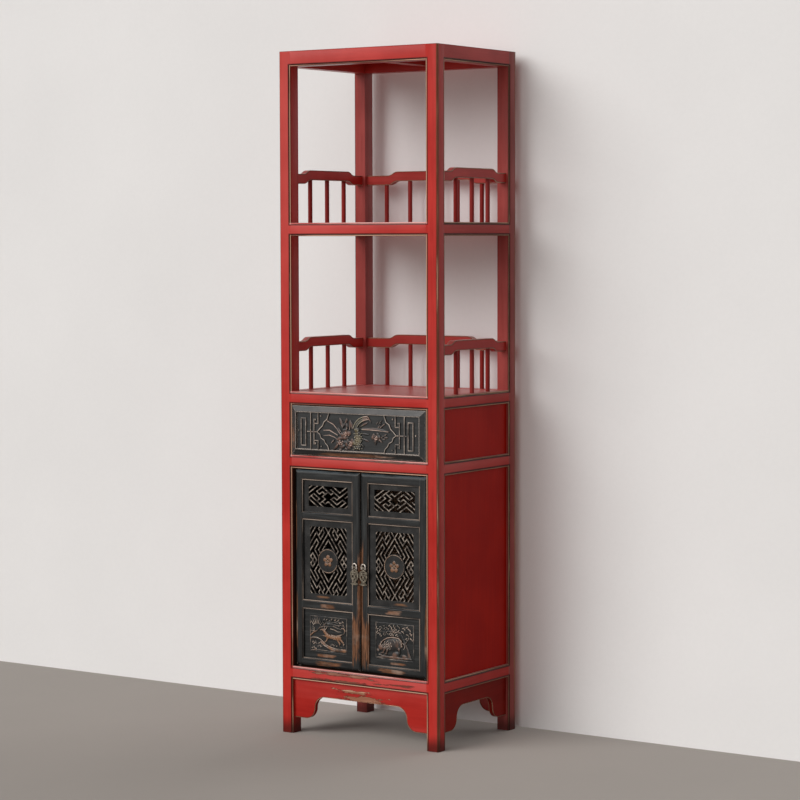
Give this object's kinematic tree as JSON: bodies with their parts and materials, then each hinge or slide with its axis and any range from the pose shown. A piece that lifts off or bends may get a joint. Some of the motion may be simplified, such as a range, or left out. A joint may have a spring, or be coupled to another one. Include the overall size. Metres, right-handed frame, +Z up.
{
  "type": "chinese book cabinet",
  "caption": "Tall narrow red lacquered book cabinet: open bays with humpback galleries over a carved drawer and a cupboard with black lattice doors and hanging pulls.",
  "frame": {"origin": "on the floor, in the middle of the width and of the whole depth, drawer front included", "axes": "+X to the right as the doors are faced, -Y out of the doors towards the person, +Z up"},
  "size_m": [0.5, 0.386, 1.81],
  "materials": {
    "red_lacquer": "worn red lacquer, satin, rubbed through to bare wood at the beads and corners",
    "black_lacquer": "worn black lacquer, satin, edges rubbed to brown wood",
    "bare_wood": "plain oiled softwood",
    "pull_metal": "aged pale brass, dull"
  },
  "bodies": {
    "carcass": {"back_apron": "red_lacquer", "back_left_post": "red_lacquer", "back_rails": "red_lacquer", "back_right_post": "red_lacquer", "bottom_front_rail": "red_lacquer", "bottom_side_rails": "red_lacquer", "cupboard_back_panel": "bare_wood", "cupboard_floor": "red_lacquer", "cupboard_left_panel": "red_lacquer", "cupboard_right_panel": "red_lacquer", "drawer_back_panel": "bare_wood", "drawer_runners": "bare_wood", "drawer_side_panels": "red_lacquer", "front_apron": "red_lacquer", "front_left_post": "red_lacquer", "front_right_post": "red_lacquer", "left_apron": "red_lacquer", "lower_back_gallery_rail": "red_lacquer", "lower_left_gallery_rail": "red_lacquer", "lower_right_gallery_rail": "red_lacquer", "lower_shelf_front_rail": "red_lacquer", "lower_shelf_panel": "red_lacquer", "lower_shelf_side_rails": "red_lacquer", "lower_spindles": "red_lacquer", "right_apron": "red_lacquer", "shelf_battens": "red_lacquer", "top_batten": "red_lacquer", "top_front_rail": "red_lacquer", "top_panel": "red_lacquer", "top_side_rails": "red_lacquer", "upper_back_gallery_rail": "red_lacquer", "upper_left_gallery_rail": "red_lacquer", "upper_right_gallery_rail": "red_lacquer", "upper_shelf_front_rail": "red_lacquer", "upper_shelf_panel": "red_lacquer", "upper_shelf_side_rails": "red_lacquer", "upper_spindles": "red_lacquer", "waist_front_rail": "red_lacquer", "waist_side_rails": "red_lacquer"},
    "left_door": {"left_door_carved_panel": "black_lacquer", "left_door_hinge_stile": "black_lacquer", "left_door_meeting_stile": "black_lacquer", "left_door_rails": "black_lacquer", "left_door_small_lattice": "black_lacquer", "left_door_tall_lattice": "black_lacquer", "left_pull_eye": "pull_metal"},
    "right_door": {"right_door_carved_panel": "black_lacquer", "right_door_hinge_stile": "black_lacquer", "right_door_meeting_stile": "black_lacquer", "right_door_rails": "black_lacquer", "right_door_small_lattice": "black_lacquer", "right_door_tall_lattice": "black_lacquer", "right_pull_eye": "pull_metal"},
    "drawer": {"drawer_front": "black_lacquer", "drawer_left_side": "bare_wood", "drawer_right_side": "bare_wood", "drawer_back": "bare_wood", "drawer_bottom": "bare_wood"},
    "left_pull": {"left_pull": "pull_metal"},
    "right_pull": {"right_pull": "pull_metal"}
  },
  "joints": [
    {"name": "left_door_hinge", "type": "hinge", "parent": "carcass", "child": "left_door", "pos_m": [-0.201, -0.168, 0.4455], "axis": [0, 0, -1], "range_deg": [0, 95]},
    {"name": "right_door_hinge", "type": "hinge", "parent": "carcass", "child": "right_door", "pos_m": [0.201, -0.168, 0.4455], "axis": [0, 0, 1], "range_deg": [0, 95]},
    {"name": "drawer_slide", "type": "slide", "parent": "carcass", "child": "drawer", "axis": [0, -1, 0], "range_m": [0, 0.26]},
    {"name": "left_pull_swing", "type": "hinge", "parent": "left_door", "child": "left_pull", "pos_m": [-0.01425, -0.1825, 0.459], "axis": [-1, 0, 0], "range_deg": [0, 100]},
    {"name": "right_pull_swing", "type": "hinge", "parent": "right_door", "child": "right_pull", "pos_m": [0.01425, -0.1825, 0.459], "axis": [-1, 0, 0], "range_deg": [0, 100]}
  ]
}
